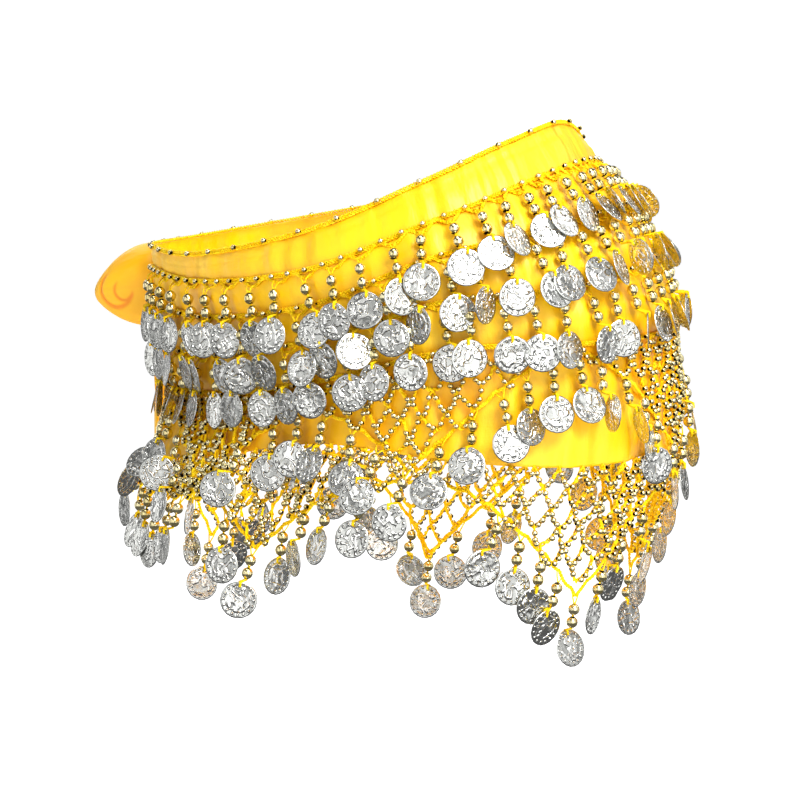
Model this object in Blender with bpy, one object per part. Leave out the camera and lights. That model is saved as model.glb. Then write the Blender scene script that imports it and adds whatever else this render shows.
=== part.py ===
"""A belly dance hip scarf as it is worn: a satin wrap tied at the right front, with crochet
edging, three rows of bead and coin strands, and two beaded nets that end in points.

Metres, +Z up. The origin is the middle of the waist opening. The front of the scarf faces -Y
and its left side faces +X. A turn is the angle in degrees round the wrap, from the front
towards the left side, so the left side is at 90, the back at 180 and the knot at -56.
"""

import bmesh
import bpy
import numpy as np
from mathutils import Matrix, Vector

# Cloth and net walls
CLOTH_THICK = 0.0016
NET_THICK = 0.0012
GAP = 0.0006  # between the cloth and a strip of crochet on it
NET_GAP = 0.0009  # between the cloth and the net that lies on it
SEAM = 0.00045  # between a net and the strip under its edge
COLUMN_STEP = 6.0  # degrees from one column of the walls to the next
PUCKER = 0.0010  # how far the cloth swells between two rows of stitching

# The knot and the notch under it
KNOT_TURN = -56.0
KNOT_HEIGHT = -0.052
KNOT_GAP = 0.0014
LOOP_GAP = 0.0004
CREASES = 5
CREASE_DEEP = 0.05  # as a share of the fold's half size
RING_POINTS = 16

# Rings of the knot and of the fold that stands out of it: how far out each one is, and its
# half size along the cloth and upwards.
KNOT_RINGS = (
    (0.0000, 0.0110, 0.0150),
    (0.0030, 0.0155, 0.0205),
    (0.0080, 0.0168, 0.0232),
    (0.0125, 0.0140, 0.0225),
)
LOOP_RINGS = (
    (0.0000, 0.0135, 0.0230),
    (0.0060, 0.0165, 0.0243),
    (0.0130, 0.0170, 0.0218),
    (0.0210, 0.0150, 0.0178),
    (0.0285, 0.0112, 0.0126),
    (0.0335, 0.0070, 0.0074),
    (0.0357, 0.0030, 0.0030),
)
TAIL_WIDTH = 0.034
TAIL_LENGTH = 0.078
TAIL_OUT = 0.0098
TAIL_TOP = 0.0240  # below the middle of the knot
TAIL_RIPPLE = 0.004
TAIL_ROWS = 6
TAIL_COLUMNS = 5
NOTCH_HALF = 14.0  # degrees each side of the knot where the two ends part
NOTCH_DEPTH = 0.062  # cloth left under the top edge at the knot
TRIM_START = -42.0  # the rows and nets run from here
TRIM_END = 290.0  # to here, past the left side and the back

# Strands
ROW_STRANDS = 36  # on each of the three rows
NET_STRAND_STEP = 8.0  # degrees between strands along a net's edge
ROOT_HALF = 0.5  # degrees each side of a strand's middle at its root
STRIP_DEEP = 0.0022
STRIP_THICK = 0.0016
BEAD_OUT = 0.0043  # from the cloth to the middle of a bead
COIN_OUT = 0.0082  # from the cloth to the coin that hangs closest to it
COIN_LAYER = 0.0015  # overlapping coins lie this far apart
FREE_VALLEY = 0.62  # lower strands stop at this share of the way to a valley

# The strand below its root: two beads, then a coin. "coin" marks the rings that lie in the
# coin's layer.
STRAND_COLUMNS = ("along", "half_width", "half_thick", "out", "coin")
STRAND = (
    (0.0075, 0.0033, 0.0028, BEAD_OUT, 0),
    (0.0113, 0.0009, 0.0008, BEAD_OUT, 0),
    (0.0151, 0.0033, 0.0028, BEAD_OUT, 0),
    (0.0190, 0.0009, 0.0006, BEAD_OUT + 0.0015, 0),
    (0.0240, 0.0086, 0.0006, 0.0, 1),
    (0.0345, 0.0086, 0.0006, 0.0, 1),
)
STRAND_TIP = 0.0395

# The oval that the scarf is worn over, from below upwards, and how far its middle is moved.
SECTION_COLUMNS = ("height", "half_width", "half_depth", "shift_x", "shift_y")
SECTIONS = (
    (-0.300, 0.1800, 0.1300, 0.0010, 0.0020),
    (-0.270, 0.1810, 0.1305, 0.0020, 0.0035),
    (-0.230, 0.1840, 0.1325, 0.0030, 0.0050),
    (-0.201, 0.1865, 0.1343, 0.0055, 0.0095),
    (-0.173, 0.1878, 0.1350, 0.0085, 0.0147),
    (-0.144, 0.1846, 0.1330, 0.0128, 0.0220),
    (-0.115, 0.1810, 0.1300, 0.0148, 0.0255),
    (-0.087, 0.1810, 0.1300, 0.0133, 0.0230),
    (-0.058, 0.1815, 0.1307, 0.0115, 0.0200),
    (-0.030, 0.1777, 0.1280, 0.0085, 0.0147),
    (0.000, 0.1627, 0.1170, 0.0060, 0.0104),
    (0.030, 0.1465, 0.1055, 0.0025, 0.0043),
    (0.050, 0.1380, 0.0995, 0.0000, 0.0000),
)

# Heights of the lines of crochet on the cloth, and of its hem, at turns round the wrap.
LINE_COLUMNS = ("turn", "top_edge", "row_1", "row_2", "row_3", "net_top", "hem")
LINES = (
    (-30, -0.028, -0.040, -0.059, -0.084, -0.105, -0.150),
    (0, -0.029, -0.044, -0.064, -0.085, -0.107, -0.142),
    (30, -0.015, -0.0355, -0.054, -0.073, -0.095, -0.130),
    (60, 0.012, -0.009, -0.027, -0.0505, -0.0765, -0.137),
    (90, 0.034, 0.0125, -0.013, -0.044, -0.074, -0.1405),
    (120, 0.044, 0.0225, -0.003, -0.033, -0.071, -0.136),
    (150, 0.033, 0.018, -0.005, -0.033, -0.068, -0.140),
    (195, 0.012, -0.010, -0.032, -0.056, -0.084, -0.147),
    (240, -0.010, -0.032, -0.054, -0.076, -0.098, -0.150),
    (290, -0.026, -0.044, -0.064, -0.086, -0.106, -0.152),
)

# The points of each net: how far each hangs below the line that carries the net, how far
# the valley after it does, and how sharp the point is.
POINT_COLUMNS = ("turn", "drop", "valley", "sharp")
UPPER_POINTS = (
    (-35.0, 0.050, 0.014, 1.5),
    (-1.0, 0.058, 0.012, 1.5),
    (50.0, 0.060, 0.003, 1.5),
    (124.0, 0.072, 0.005, 1.5),
    (188.0, 0.066, 0.006, 1.5),
    (248.0, 0.062, 0.008, 1.5),
    (305.0, 0.050, 0.008, 1.5),
)
LOWER_POINTS = (
    (-60.0, 0.024, 0.010, 2.0),
    (-14.0, 0.024, 0.020, 2.0),
    (18.5, 0.055, 0.0115, 1.8),
    (95.5, 0.070, 0.008, 1.5),
    (160.0, 0.070, 0.010, 1.6),
    (220.0, 0.070, 0.010, 1.6),
    (277.0, 0.056, 0.010, 1.8),
    (320.0, 0.040, 0.010, 1.8),
)

# Soft troughs in the free part of the cloth and nets: each fades in over a height below
# its top.
FOLD_COLUMNS = ("turn", "half_turn", "depth", "top", "fade")
FOLDS = (
    (24.0, 14.0, 0.0130, -0.085, 0.100),
    (-12.0, 10.0, 0.0030, -0.110, 0.060),
    (78.0, 9.0, 0.0030, -0.080, 0.060),
    (92.0, 9.0, 0.0022, -0.080, 0.060),
    (109.0, 9.0, 0.0034, -0.075, 0.060),
    (127.0, 9.0, 0.0026, -0.080, 0.060),
    (148.0, 10.0, 0.0034, -0.075, 0.060),
    (172.0, 11.0, 0.0040, -0.080, 0.060),
    (196.0, 10.0, 0.0028, -0.090, 0.060),
    (217.0, 11.0, 0.0042, -0.085, 0.060),
    (243.0, 12.0, 0.0034, -0.095, 0.060),
    (270.0, 11.0, 0.0040, -0.100, 0.060),
)


def table(columns, rows):
    """The rows of a table as one array for each named column."""
    return dict(zip(columns, np.array(rows, float).T))


section = table(SECTION_COLUMNS, SECTIONS)
line = table(LINE_COLUMNS, LINES)
fold = table(FOLD_COLUMNS, FOLDS)
strand = table(STRAND_COLUMNS, STRAND)


def smooth(at, xs, ys):
    """A cubic through the points, its slope at each one taken from the two beside it."""
    slopes = np.gradient(ys, xs)
    i = np.clip(np.searchsorted(xs, at) - 1, 0, len(xs) - 2)
    step = xs[i + 1] - xs[i]
    u = (at - xs[i]) / step
    left = (1 + 2 * u) * (1 - u) ** 2 * ys[i] + u * (1 - u) ** 2 * step * slopes[i]
    right = u * u * (3 - 2 * u) * ys[i + 1] - u * u * (1 - u) * step * slopes[i + 1]
    return left + right


def line_height(name, turn):
    """The height of a named line at each turn. The table repeats every 360 degrees."""
    around = line["turn"]
    xs = np.concatenate([around[-3:] - 360, around, around[:3] + 360])
    ys = np.concatenate([line[name][-3:], line[name], line[name][:3]])
    return smooth(np.asarray(turn, float), xs, ys)


def fade(u):
    """0 below u = 0, 1 above u = 1, and a smooth rise between."""
    u = np.clip(u, 0, 1)
    return u * u * (3 - 2 * u)


def fold_depth(turn, height):
    """How far the folds draw the surface in."""
    deep = np.zeros(np.broadcast(turn, height).shape)
    for middle, half, depth, top, fade_height in zip(*fold.values()):
        away = (np.asarray(turn) - middle + 180) % 360 - 180
        across = np.cos(np.clip(away / half, -1, 1) * np.pi / 2) ** 2
        deep = deep + depth * across * fade((top - height) / fade_height)
    return deep


def figure_at(turn, height):
    """A point of the worn form: an oval whose size and middle change with height."""
    angle = np.radians(turn)
    inward = fold_depth(turn, height)
    half_width = smooth(height, section["height"], section["half_width"]) - inward
    half_depth = smooth(height, section["height"], section["half_depth"]) - inward
    x = smooth(height, section["height"], section["shift_x"]) + half_width * np.sin(angle)
    y = smooth(height, section["height"], section["shift_y"]) - half_depth * np.cos(angle)
    return np.stack(np.broadcast_arrays(x, y, height), axis=-1)


def wall_columns():
    """The turns of the walls' columns, evenly spaced but for one at each net point."""
    columns = KNOT_TURN + np.arange(0, 360, COLUMN_STEP)
    for point in UPPER_POINTS + LOWER_POINTS:
        if TRIM_START < point[0] < TRIM_END:
            columns[np.argmin(abs(columns - point[0]))] = point[0]
    return columns


COLUMNS = wall_columns()


def surface(turn, height):
    """A point on the flat facet between two columns, so that what lies there follows it."""
    turn, height = np.broadcast_arrays(np.asarray(turn, float), np.asarray(height, float))
    ends = np.append(COLUMNS, COLUMNS[0] + 360)
    within = (turn - KNOT_TURN) % 360 + KNOT_TURN
    i = np.clip(np.searchsorted(ends, within, side="right") - 1, 0, len(ends) - 2)
    share = ((within - ends[i]) / (ends[i + 1] - ends[i]))[..., None]
    return figure_at(ends[i], height) * (1 - share) + figure_at(ends[i + 1], height) * share


def outward(turn, height):
    """The unit normal of the worn form."""
    small_turn, small_height = 1.0, 0.002
    along = figure_at(turn + small_turn, height) - figure_at(turn - small_turn, height)
    up = figure_at(turn, height + small_height) - figure_at(turn, height - small_height)
    normal = np.cross(along, up)
    return normal / np.linalg.norm(normal, axis=-1, keepdims=True)


def placed(turn, height, out):
    """A point of the surface moved out by a distance."""
    turn, height = np.broadcast_arrays(np.asarray(turn, float), np.asarray(height, float))
    return surface(turn, height) + outward(turn, height) * np.asarray(out)[..., None]


def net_drop(turn, points):
    """How far a net's edge hangs below its line: away is 0 at a point and 1 at a valley."""
    point = table(POINT_COLUMNS, points)
    i = np.clip(np.searchsorted(point["turn"], turn, side="right") - 1, 0, len(points) - 2)
    u = (turn - point["turn"][i]) / (point["turn"][i + 1] - point["turn"][i])
    nearest = i + (u >= 0.5)
    away = 2 * np.minimum(u, 1 - u)
    valley = point["valley"][i]
    return valley + (point["drop"][nearest] - valley) * (1 - away) ** point["sharp"][nearest]


def upper_edge(turn):
    return line_height("net_top", turn) - net_drop(turn, UPPER_POINTS)


def lower_edge(turn):
    return line_height("hem", turn) - net_drop(turn, LOWER_POINTS)


def finish(name, colour, roughness, metallic):
    """A Principled material."""
    material = bpy.data.materials.new(name)
    material.use_nodes = True
    shader = material.node_tree.nodes["Principled BSDF"]
    shader.inputs["Base Color"].default_value = (*colour, 1)
    shader.inputs["Roughness"].default_value = roughness
    shader.inputs["Metallic"].default_value = metallic
    return material


def add_object(name, shape, material):
    """A bmesh as a named object, with every face turned outwards."""
    shape.normal_update()
    bmesh.ops.recalc_face_normals(shape, faces=shape.faces)
    if shape.calc_volume(signed=True) < 0:
        bmesh.ops.reverse_faces(shape, faces=shape.faces)
    mesh = bpy.data.meshes.new(name)
    shape.to_mesh(mesh)
    shape.free()
    mesh.materials.append(material)
    thing = bpy.data.objects.new(name, mesh)
    bpy.context.scene.collection.objects.link(thing)
    return thing


def wall(name, points, closed, thickness, material):
    """A wall through a grid of points, rows from the top down, thickened inwards."""
    rows, columns = points.shape[:2]
    shape = bmesh.new()
    grid = [[shape.verts.new(point) for point in row] for row in points]
    for upper, lower in zip(grid, grid[1:]):
        for i in range(columns if closed else columns - 1):
            j = (i + 1) % columns
            shape.faces.new((lower[i], lower[j], upper[j], upper[i]))
    mesh = bpy.data.meshes.new(name)
    shape.to_mesh(mesh)
    shape.free()
    mesh.materials.append(material)
    thing = bpy.data.objects.new(name, mesh)
    bpy.context.scene.collection.objects.link(thing)
    solidify = thing.modifiers.new("thickness", "SOLIDIFY")
    solidify.thickness = thickness
    solidify.offset = -1
    solidify.use_even_offset = True
    return thing


def cloth_heights():
    """Heights of the cloth's rows: its lines, one row between each two, and the hem part."""
    names = ("top_edge", "row_1", "row_2", "row_3", "net_top")
    lines = [line_height(name, COLUMNS) for name in names]
    hem = line_height("hem", COLUMNS)
    rows = [lines[0]]
    swell = [0.0]
    for upper, lower in zip(lines, lines[1:]):
        rows += [(upper + lower) / 2, lower]
        swell += [PUCKER, 0.0]
    for share in (0.25, 0.5, 0.75, 1.0):
        rows.append(lines[-1] + (hem - lines[-1]) * share)
        swell.append(0.0)
    return np.array(rows), np.array(swell)


def notch_share():
    """1 at the knot and 0 where the two ends of the cloth have closed again."""
    away = abs((COLUMNS - KNOT_TURN + 180) % 360 - 180)
    return np.clip(1 - away / NOTCH_HALF, 0, 1)


def make_cloth(material):
    """The satin wrap. Under the knot its hem rises where the two ends part."""
    heights, swell = cloth_heights()
    top = heights[0]
    at_knot = top - NOTCH_DEPTH * np.linspace(0, 1, len(heights))[:, None]
    heights = heights + (at_knot - heights) * notch_share()
    out = np.broadcast_to(swell[:, None], heights.shape)
    points = placed(np.broadcast_to(COLUMNS, heights.shape), heights, out)
    wall("cloth_wrap", points, True, CLOTH_THICK, material)


def trim_columns():
    """The walls' columns between the two ends of the trim."""
    return COLUMNS[(COLUMNS > TRIM_START) & (COLUMNS < TRIM_END)]


def make_net(name, carrier, edge, out, rows, material):
    """A net as a wall from its line down to its pointed edge."""
    turns = trim_columns()
    top, bottom = carrier(turns), edge(turns)
    heights = np.array([top + (bottom - top) * share for share in np.linspace(0, 1, rows)])
    spread = np.broadcast_to(turns, heights.shape)
    points = placed(spread, heights, np.full(heights.shape, out))
    wall(name, points, False, NET_THICK, material)


def strand_path(turn, top):
    """Points, tangents and normals down the cloth below a strand's root."""
    heights = top - np.linspace(0, 0.06, 25)
    line_down = surface(np.full(heights.shape, turn), heights)
    lengths = np.linalg.norm(np.diff(line_down, axis=0), axis=1)
    run = np.concatenate([[0], np.cumsum(lengths)])
    along = np.append(strand["along"], STRAND_TIP)
    at = np.interp(along, run, heights)
    turns = np.full(at.shape, turn)
    normals = outward(turns, at)
    tangents = figure_at(turns + 1, at) - figure_at(turns - 1, at)
    tangents /= np.linalg.norm(tangents, axis=1, keepdims=True)
    return surface(turns, at), tangents, normals


def add_strand(shape, root, turn, top, lift, layer):
    """Two beads and a coin below a root of three corners, as one three-sided loft."""
    points, tangents, normals = strand_path(turn, top)
    coin_out = COIN_OUT + COIN_LAYER * layer
    ring = root
    for i, (width, thick) in enumerate(zip(strand["half_width"], strand["half_thick"])):
        out = coin_out if strand["coin"][i] else strand["out"][i] + lift
        middle = points[i] + normals[i] * out
        corners = (
            middle - tangents[i] * width + normals[i] * thick,
            middle + tangents[i] * width + normals[i] * thick,
            middle - normals[i] * thick,
        )
        lower = [shape.verts.new(corner) for corner in corners]
        for j in range(3):
            k = (j + 1) % 3
            shape.faces.new((ring[j], ring[k], lower[k], lower[j]))
        ring = lower
    tip = shape.verts.new(points[-1] + normals[-1] * coin_out)
    for j in range(3):
        shape.faces.new((ring[j], ring[(j + 1) % 3], tip))


def strip_stations(strand_turns):
    """Turns of the strip's corners: two at each strand, and the wall columns between."""
    roots = np.concatenate([strand_turns - ROOT_HALF, strand_turns + ROOT_HALF])
    columns = trim_columns()
    clear = abs(columns[:, None] - strand_turns[None, :]).min(axis=1) > 3 * ROOT_HALF
    return np.sort(np.concatenate([roots, columns[clear]]))


def make_strands(name, edge, strand_turns, inner, lift, layer, material):
    """A narrow strip along an edge, three-cornered, with the strands grown out of it.

    The strip's height is straight between two columns, as the wall's own edge is, and level
    at each strand, so that it stays under a point.
    """
    turns = strip_stations(strand_turns)
    top = np.interp(turns, COLUMNS, edge(COLUMNS))
    for middle in strand_turns:
        near = middle + np.linspace(-3, 3, 13) * ROOT_HALF
        at_root = abs(turns - middle) < 1.5 * ROOT_HALF
        top[at_root] = np.interp(near, COLUMNS, edge(COLUMNS)).min()
    below = top - STRIP_DEEP
    shape = bmesh.new()
    inner_top = [shape.verts.new(p) for p in placed(turns, top, np.full(top.shape, inner))]
    inner_low = [shape.verts.new(p) for p in placed(turns, below, np.full(top.shape, inner))]
    outer = np.full(top.shape, inner + STRIP_THICK)
    outer_low = [shape.verts.new(p) for p in placed(turns, below, outer)]
    grown = 0
    for i in range(len(turns) - 1):
        j = i + 1
        middle = (turns[i] + turns[j]) / 2
        shape.faces.new((inner_top[i], inner_top[j], outer_low[j], outer_low[i]))
        if abs(strand_turns - middle).min() > ROOT_HALF / 2:
            shape.faces.new((inner_low[i], inner_low[j], inner_top[j], inner_top[i]))
            shape.faces.new((outer_low[i], outer_low[j], inner_low[j], inner_low[i]))
            continue
        between = (inner_low[i].co + inner_low[j].co) / 2
        root_back = shape.verts.new(between)
        shape.faces.new((inner_top[i], inner_low[i], root_back, inner_low[j], inner_top[j]))
        shape.faces.new((inner_low[i], outer_low[i], root_back))
        shape.faces.new((root_back, outer_low[j], inner_low[j]))
        root = [outer_low[i], outer_low[j], root_back]
        root_height = (below[i] + below[j]) / 2
        add_strand(shape, root, middle, root_height, lift, layer + grown % 2)
        grown += 1
    shape.faces.new((inner_top[0], outer_low[0], inner_low[0]))
    shape.faces.new((inner_top[-1], inner_low[-1], outer_low[-1]))
    add_object(name, shape, material)


def net_strand_turns(points, furthest):
    """Strands along a net's edge, one at each point and the rest evenly between points."""
    turns = []
    for (start, *_), (end, *_) in zip(points, points[1:]):
        count = round((end - start) / NET_STRAND_STEP)
        for share in np.arange(count) / count:
            if 2 * min(share, 1 - share) <= furthest:
                turns.append(start + (end - start) * share)
    turns = np.array(turns)
    inside = (turns > TRIM_START + 2) & (turns < TRIM_END - 4)
    return turns[inside]


def make_edging(material):
    """The crochet cord along the top edge, three-cornered and closed round the waist."""
    top = line_height("top_edge", COLUMNS)
    low = top - STRIP_DEEP
    full = np.ones(len(COLUMNS))
    corners = (
        placed(COLUMNS, top, full * GAP),
        placed(COLUMNS, low, full * GAP),
        placed(COLUMNS, low + STRIP_DEEP / 2, full * (GAP + STRIP_THICK)),
    )
    shape = bmesh.new()
    rings = [[shape.verts.new(point) for point in ring] for ring in corners]
    for i in range(len(COLUMNS)):
        j = (i + 1) % len(COLUMNS)
        for first, second in zip(rings, rings[1:] + rings[:1]):
            shape.faces.new((first[i], first[j], second[j], second[i]))
    add_object("waist_edging", shape, material)


def knot_frame():
    """The knot's place on the cloth, with its axes along the cloth, outwards and up."""
    turn, height = np.array(KNOT_TURN), np.array(KNOT_HEIGHT)
    base = Vector(surface(turn, height))
    normal = Vector(outward(turn, height))
    along = normal.cross(Vector((0, 0, 1))).normalized()
    axes = Matrix((along, normal, along.cross(normal))).transposed()
    return base, normal, axes


def fold_of_cloth(name, base, axes, rings, creases, material):
    """A closed fold of cloth that grows outwards through rings, creased round its middle."""
    spin = np.arange(RING_POINTS) / RING_POINTS * 2 * np.pi
    size = 1 - creases * (1 - np.cos(CREASES * spin)) / 2
    shape = bmesh.new()
    grown = []
    for out, half_along, half_up in rings:
        along = half_along * np.cos(spin) * size
        up = half_up * np.sin(spin) * size
        local = zip(along, np.full(RING_POINTS, out), up)
        grown.append([shape.verts.new(base + axes @ Vector(point)) for point in local])
    for inner, outer in zip(grown, grown[1:]):
        for i in range(RING_POINTS):
            j = (i + 1) % RING_POINTS
            shape.faces.new((inner[i], inner[j], outer[j], outer[i]))
    for ring in (grown[0], grown[-1]):
        middle = shape.verts.new(sum((vert.co for vert in ring), Vector()) / RING_POINTS)
        for i in range(RING_POINTS):
            shape.faces.new((ring[i], ring[(i + 1) % RING_POINTS], middle))
    add_object(name, shape, material)


def make_tail(base, normal, axes, material):
    """The short end of the scarf, hanging from the knot and tapering to its corner."""
    along = axes.col[0]
    grid = []
    for down in np.linspace(0, 1, TAIL_ROWS):
        belly = 0.55 + 0.45 * np.sin(np.pi * min(down * 1.4, 1))
        width = TAIL_WIDTH * belly * (1 - 0.6 * down**2)
        row = []
        for across in np.linspace(-0.5, 0.5, TAIL_COLUMNS):
            ripple = TAIL_RIPPLE * np.cos(2 * np.pi * across) * (0.4 + down)
            point = base + along * (width * across) + normal * (TAIL_OUT + ripple)
            point.z -= TAIL_TOP + TAIL_LENGTH * down
            row.append(point)
        grid.append(row)
    points = np.array([[tuple(point) for point in row] for row in grid])
    wall("knot_tail", points, False, CLOTH_THICK, material)


def make_knot(material):
    """The tied end: a tight knot, the fold that stands out of it, and the short tail."""
    base, normal, axes = knot_frame()
    knot_base = base + normal * KNOT_GAP
    fold_of_cloth("knot", knot_base, axes, KNOT_RINGS, 0.0, material)
    loop_base = knot_base + normal * (KNOT_RINGS[-1][0] + LOOP_GAP)
    fold_of_cloth("knot_loop", loop_base, axes, LOOP_RINGS, CREASE_DEEP, material)
    make_tail(base, normal, axes, material)


def build():
    """All the pieces of the scarf."""
    satin = finish("yellow_satin", (1.0, 0.55, 0.01), 0.35, 0.0)
    crochet = finish("yellow_crochet", (1.0, 0.50, 0.01), 0.70, 0.0)
    coins = finish("beads_and_coins", (0.75, 0.72, 0.60), 0.25, 1.0)
    make_cloth(satin)
    make_edging(crochet)
    step = (TRIM_END - TRIM_START) / (ROW_STRANDS + 0.5)
    for number in (1, 2, 3):
        name = f"row_{number}"
        first = TRIM_START + step * (0.75 if number % 2 else 0.25)
        make_strands(
            f"coin_{name}",
            lambda turn, name=name: line_height(name, turn),
            first + step * np.arange(ROW_STRANDS),
            GAP,
            0.0,
            int(number == 3),
            coins,
        )
    make_net(
        "upper_net",
        lambda turn: line_height("net_top", turn),
        upper_edge,
        NET_GAP + NET_THICK,
        5,
        crochet,
    )
    make_strands(
        "upper_net_coins",
        lambda turn: upper_edge(turn) - SEAM,
        net_strand_turns(UPPER_POINTS, 1.0),
        NET_GAP,
        NET_GAP,
        0,
        coins,
    )
    make_net(
        "lower_net",
        lambda turn: line_height("hem", turn) - SEAM,
        lower_edge,
        0.0,
        5,
        crochet,
    )
    make_strands(
        "lower_net_coins",
        lambda turn: lower_edge(turn) - SEAM,
        net_strand_turns(LOWER_POINTS, FREE_VALLEY),
        -NET_THICK,
        0.0,
        0,
        coins,
    )
    make_knot(satin)


for thing in list(bpy.data.objects):
    bpy.data.objects.remove(thing)
build()
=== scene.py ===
# %% [markdown]
# # A belly dance hip scarf in yellow satin
# The scarf is one length of satin, wrapped round the hips and tied at the right front. A
# crochet cord runs along its top edge, and three more lines of crochet carry strands of two
# gold beads and a stamped coin. Under them a beaded net lies on the satin and ends in
# points, and a second net hangs from the hem with its points between the upper ones.
#
# Everything here is measured from one worn form: an oval that changes with height. A piece
# is placed on it by a turn round the form, a height, and a distance out from the cloth, so
# nothing has to be fitted to anything else afterwards.

import math

import bpy
import numpy as np
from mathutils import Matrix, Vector


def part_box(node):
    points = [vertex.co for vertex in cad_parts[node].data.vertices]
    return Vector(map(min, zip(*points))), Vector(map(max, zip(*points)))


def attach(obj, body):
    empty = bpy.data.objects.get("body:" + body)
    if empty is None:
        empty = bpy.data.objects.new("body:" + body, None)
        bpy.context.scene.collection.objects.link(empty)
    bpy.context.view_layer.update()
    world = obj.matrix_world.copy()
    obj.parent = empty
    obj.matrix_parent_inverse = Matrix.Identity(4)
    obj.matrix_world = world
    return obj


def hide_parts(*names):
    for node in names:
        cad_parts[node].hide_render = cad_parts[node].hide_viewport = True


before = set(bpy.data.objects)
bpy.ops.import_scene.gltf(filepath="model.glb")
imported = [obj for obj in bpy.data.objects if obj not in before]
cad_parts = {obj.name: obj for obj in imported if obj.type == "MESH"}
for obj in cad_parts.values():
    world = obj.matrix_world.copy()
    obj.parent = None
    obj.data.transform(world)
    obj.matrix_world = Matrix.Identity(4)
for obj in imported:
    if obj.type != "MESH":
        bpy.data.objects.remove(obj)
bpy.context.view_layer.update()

# %% [markdown]
# ## The measures
# A pattern cutter would write a scarf down as a table: how high each line of stitching sits
# at the front, the sides and the back, and where the nets come to their points. The form
# could be sculpted by hand, but then no line would stay a line. In tables, in millimetres
# and degrees, a change of one number moves a row and all that hangs from it.

# %% The worn form and the lines of crochet on it
FORM_COLUMNS = ("height", "half_width", "half_depth", "shift_x", "shift_y")
FORM = (
    (-300, 180, 130, 1, 2),
    (-270, 181, 130.5, 2, 3.5),
    (-230, 184, 132.5, 3, 5),
    (-201, 186.5, 134.3, 5.5, 9.5),
    (-173, 187.8, 135, 8.5, 14.7),
    (-144, 184.6, 133, 12.8, 22),
    (-115, 181, 130, 14.8, 25.5),
    (-87, 181, 130, 13.3, 23),
    (-58, 181.5, 130.7, 11.5, 20),
    (-30, 177.7, 128, 8.5, 14.7),
    (0, 162.7, 117, 6, 10.4),
    (30, 146.5, 105.5, 2.5, 4.3),
    (50, 138, 99.5, 0, 0),
)
LINE_COLUMNS = ("turn", "top_edge", "row_1", "row_2", "row_3", "net_top", "hem")
LINES = (
    (-30, -28, -40, -59, -84, -105, -150),
    (0, -29, -44, -64, -85, -107, -142),
    (30, -15, -35.5, -54, -73, -95, -130),
    (60, 12, -9, -27, -50.5, -76.5, -137),
    (90, 34, 12.5, -13, -44, -74, -140.5),
    (120, 44, 22.5, -3, -33, -71, -136),
    (150, 33, 18, -5, -33, -68, -140),
    (195, 12, -10, -32, -56, -84, -147),
    (240, -10, -32, -54, -76, -98, -150),
    (290, -26, -44, -64, -86, -106, -152),
)
NOT_LENGTHS = ("turn", "half_turn", "sharp")


def table(columns, rows):
    """One array for each named column of a table, its lengths in metres."""
    return {name: column / (1 if name in NOT_LENGTHS else 1000)
            for name, column in zip(columns, np.array(rows, float).T)}


form, line = table(FORM_COLUMNS, FORM), table(LINE_COLUMNS, LINES)
print(len(FORM), "ovals and", len(LINE_COLUMNS) - 1, "lines round the form")

# %% The points of the two nets and the soft folds
# Each point hangs "drop" below the line that carries its net, the valley after it "valley",
# and a larger "sharp" makes it narrower.
POINT_COLUMNS = ("turn", "drop", "valley", "sharp")
UPPER_POINTS = (
    (-35, 50, 14, 1.5),
    (-1, 58, 12, 1.5),
    (50, 60, 3, 1.5),
    (124, 72, 5, 1.5),
    (188, 66, 6, 1.5),
    (248, 62, 8, 1.5),
    (305, 50, 8, 1.5),
)
LOWER_POINTS = (
    (-60, 24, 10, 2),
    (-14, 24, 20, 2),
    (18.5, 55, 11.5, 1.8),
    (95.5, 70, 8, 1.5),
    (160, 70, 10, 1.6),
    (220, 70, 10, 1.6),
    (277, 56, 10, 1.8),
    (320, 40, 10, 1.8),
)
FOLD_COLUMNS = ("turn", "half_turn", "depth", "top", "fade")
FOLDS = (
    (24, 14, 13, -85, 100),
    (-12, 10, 3, -110, 60),
    (78, 9, 3, -80, 60),
    (92, 9, 2.2, -80, 60),
    (109, 9, 3.4, -75, 60),
    (127, 9, 2.6, -80, 60),
    (148, 10, 3.4, -75, 60),
    (172, 11, 4, -80, 60),
    (196, 10, 2.8, -90, 60),
    (217, 11, 4.2, -85, 60),
    (243, 12, 3.4, -95, 60),
    (270, 11, 4, -100, 60),
)
KNOT_TURN = -56.0
NOTCH_HALF, NOTCH_DEPTH = 14.0, 0.062  # where the two ends part under the knot
TRIM_START, TRIM_END = -42.0, 290.0
fold = table(FOLD_COLUMNS, FOLDS)
print(len(UPPER_POINTS), "upper points,", len(LOWER_POINTS), "lower points,", len(FOLDS), "folds")

# %% [markdown]
# ## From numbers to a surface
# A smooth curve through the table's rows could be a Bezier curve object. Here it is a cubic
# in numpy, because whole arrays of points, of cloth, threads or beads, go through at once.

# %% Curves through the tables
def through(at, xs, ys):
    """A cubic through the points (xs, ys). With u from 0 to 1 between two of them:
    y = (1+2u)(1-u)^2 y0 + u(1-u)^2 h s0 + u^2(3-2u) y1 - u^2(1-u) h s1, where h is the
    step and s the slope at each point, taken from its neighbours."""
    slopes = np.gradient(ys, xs)
    i = np.clip(np.searchsorted(xs, at) - 1, 0, len(xs) - 2)
    step = xs[i + 1] - xs[i]
    u = (at - xs[i]) / step
    left = (1 + 2 * u) * (1 - u) ** 2 * ys[i] + u * (1 - u) ** 2 * step * slopes[i]
    right = u * u * (3 - 2 * u) * ys[i + 1] - u * u * (1 - u) * step * slopes[i + 1]
    return left + right


def line_height(name, turn):
    """The height of a named line at each turn. The table repeats every 360 degrees, so its
    last and first rows are added at its two ends."""
    more = 3
    xs = np.concatenate([line["turn"][-more:] - 360, line["turn"], line["turn"][:more] + 360])
    ys = np.concatenate([line[name][-more:], line[name], line[name][:more]])
    return through(np.asarray(turn, float), xs, ys)


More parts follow.
